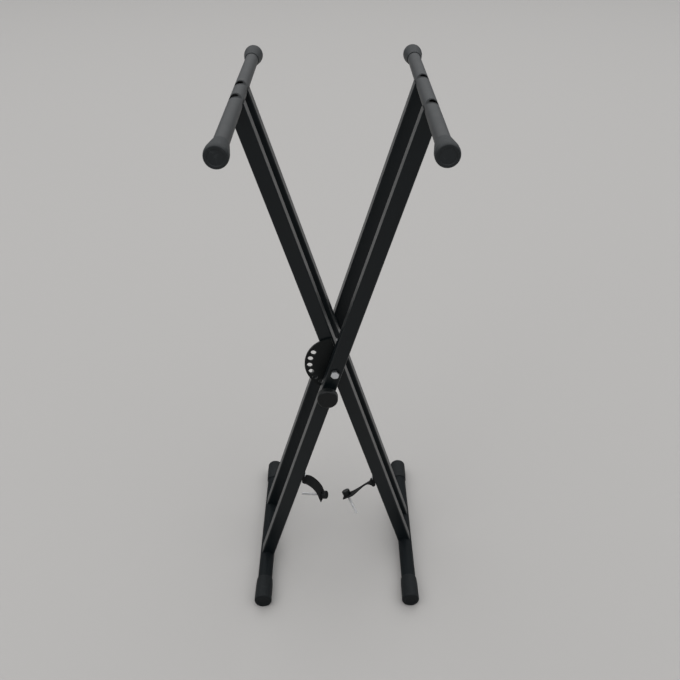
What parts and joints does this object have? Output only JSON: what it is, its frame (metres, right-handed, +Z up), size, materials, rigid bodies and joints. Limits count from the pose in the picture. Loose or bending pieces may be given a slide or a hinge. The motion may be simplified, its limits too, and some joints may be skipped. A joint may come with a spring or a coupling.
{
  "type": "folding keyboard stand",
  "caption": "Double-braced X-frame folding stand of black square tubes with round top bars, round floor tubes, rubber caps and feet, and a sprung lock on a fan-shaped hole plate.",
  "frame": {"origin": "on the floor, midway between the four feet, below the pivot", "axes": "+Z up, +X to the right seen from the lock knob's side, -Y towards the lock knob"},
  "size_m": [0.3196, 0.524, 0.9491],
  "materials": {
    "powder_coat": "fine satin black powder coat on steel tube",
    "rubber": "matte black",
    "black_plastic": "smooth moulded black",
    "nylon": "dull black",
    "zinc": "bright zinc plating",
    "plain_steel": "plain turned steel",
    "webbing": "woven black webbing"
  },
  "bodies": {
    "outer_frame": {"outer_front_leg": "powder_coat", "outer_rear_leg": "powder_coat", "right_top_bar": "powder_coat", "right_top_cap_front": "rubber", "right_top_cap_rear": "rubber", "left_base_tube": "powder_coat", "left_foot_front": "rubber", "left_foot_rear": "rubber", "outer_front_top_plug": "nylon", "outer_front_top_screw": "zinc", "outer_front_base_plug": "nylon", "outer_front_base_screw": "zinc", "outer_rear_top_plug": "nylon", "outer_rear_top_screw": "zinc", "outer_rear_base_plug": "nylon", "outer_rear_base_screw": "zinc", "pivot_bolt": "zinc", "pivot_nut": "zinc", "pivot_washer_front": "zinc", "pivot_washer_rear": "zinc", "lock_barrel": "zinc", "lock_spring": "plain_steel", "left_strap": "webbing", "left_strap_screw": "zinc"},
    "inner_frame": {"inner_front_leg": "powder_coat", "inner_rear_leg": "powder_coat", "left_top_bar": "powder_coat", "left_top_cap_front": "rubber", "left_top_cap_rear": "rubber", "right_base_tube": "powder_coat", "right_foot_front": "rubber", "right_foot_rear": "rubber", "inner_front_top_plug": "nylon", "inner_front_top_screw": "zinc", "inner_front_base_plug": "nylon", "inner_front_base_screw": "zinc", "inner_rear_top_plug": "nylon", "inner_rear_top_screw": "zinc", "inner_rear_base_plug": "nylon", "inner_rear_base_screw": "zinc", "spacer_front": "nylon", "spacer_rear": "nylon", "pivot_sleeve": "plain_steel", "lock_plate": "powder_coat", "right_strap": "webbing", "right_strap_screw": "zinc"},
    "lock_plunger": {"lock_pin": "plain_steel", "lock_knob": "black_plastic"},
    "left_peg_screw": {"left_peg": "plain_steel", "left_peg_knob": "black_plastic"},
    "right_peg_screw": {"right_peg": "plain_steel", "right_peg_knob": "black_plastic"}
  },
  "joints": [
    {"name": "fold", "type": "hinge", "parent": "outer_frame", "child": "inner_frame", "pos_m": [0, 0, 0.47911], "axis": [0, -1, 0], "range_deg": [-29.4, 105.9]},
    {"name": "lock_pull", "type": "slide", "parent": "outer_frame", "child": "lock_plunger", "axis": [0, 1, 0], "range_m": [0, 0.0038], "stiffness_N_per_m": 2000, "springref_m": 0.0106, "deforming": ["lock_spring"]},
    {"name": "left_peg_spin", "type": "hinge", "parent": "outer_frame", "child": "left_peg_screw", "pos_m": [-0.02845, -0.068, 0.17845], "axis": [0.9032, -0.342, 0.2593], "continuous": true},
    {"name": "right_peg_spin", "type": "hinge", "parent": "inner_frame", "child": "right_peg_screw", "pos_m": [0.02299, -0.035, 0.14348], "axis": [-0.4183, 0.3256, 0.848], "continuous": true}
  ]
}
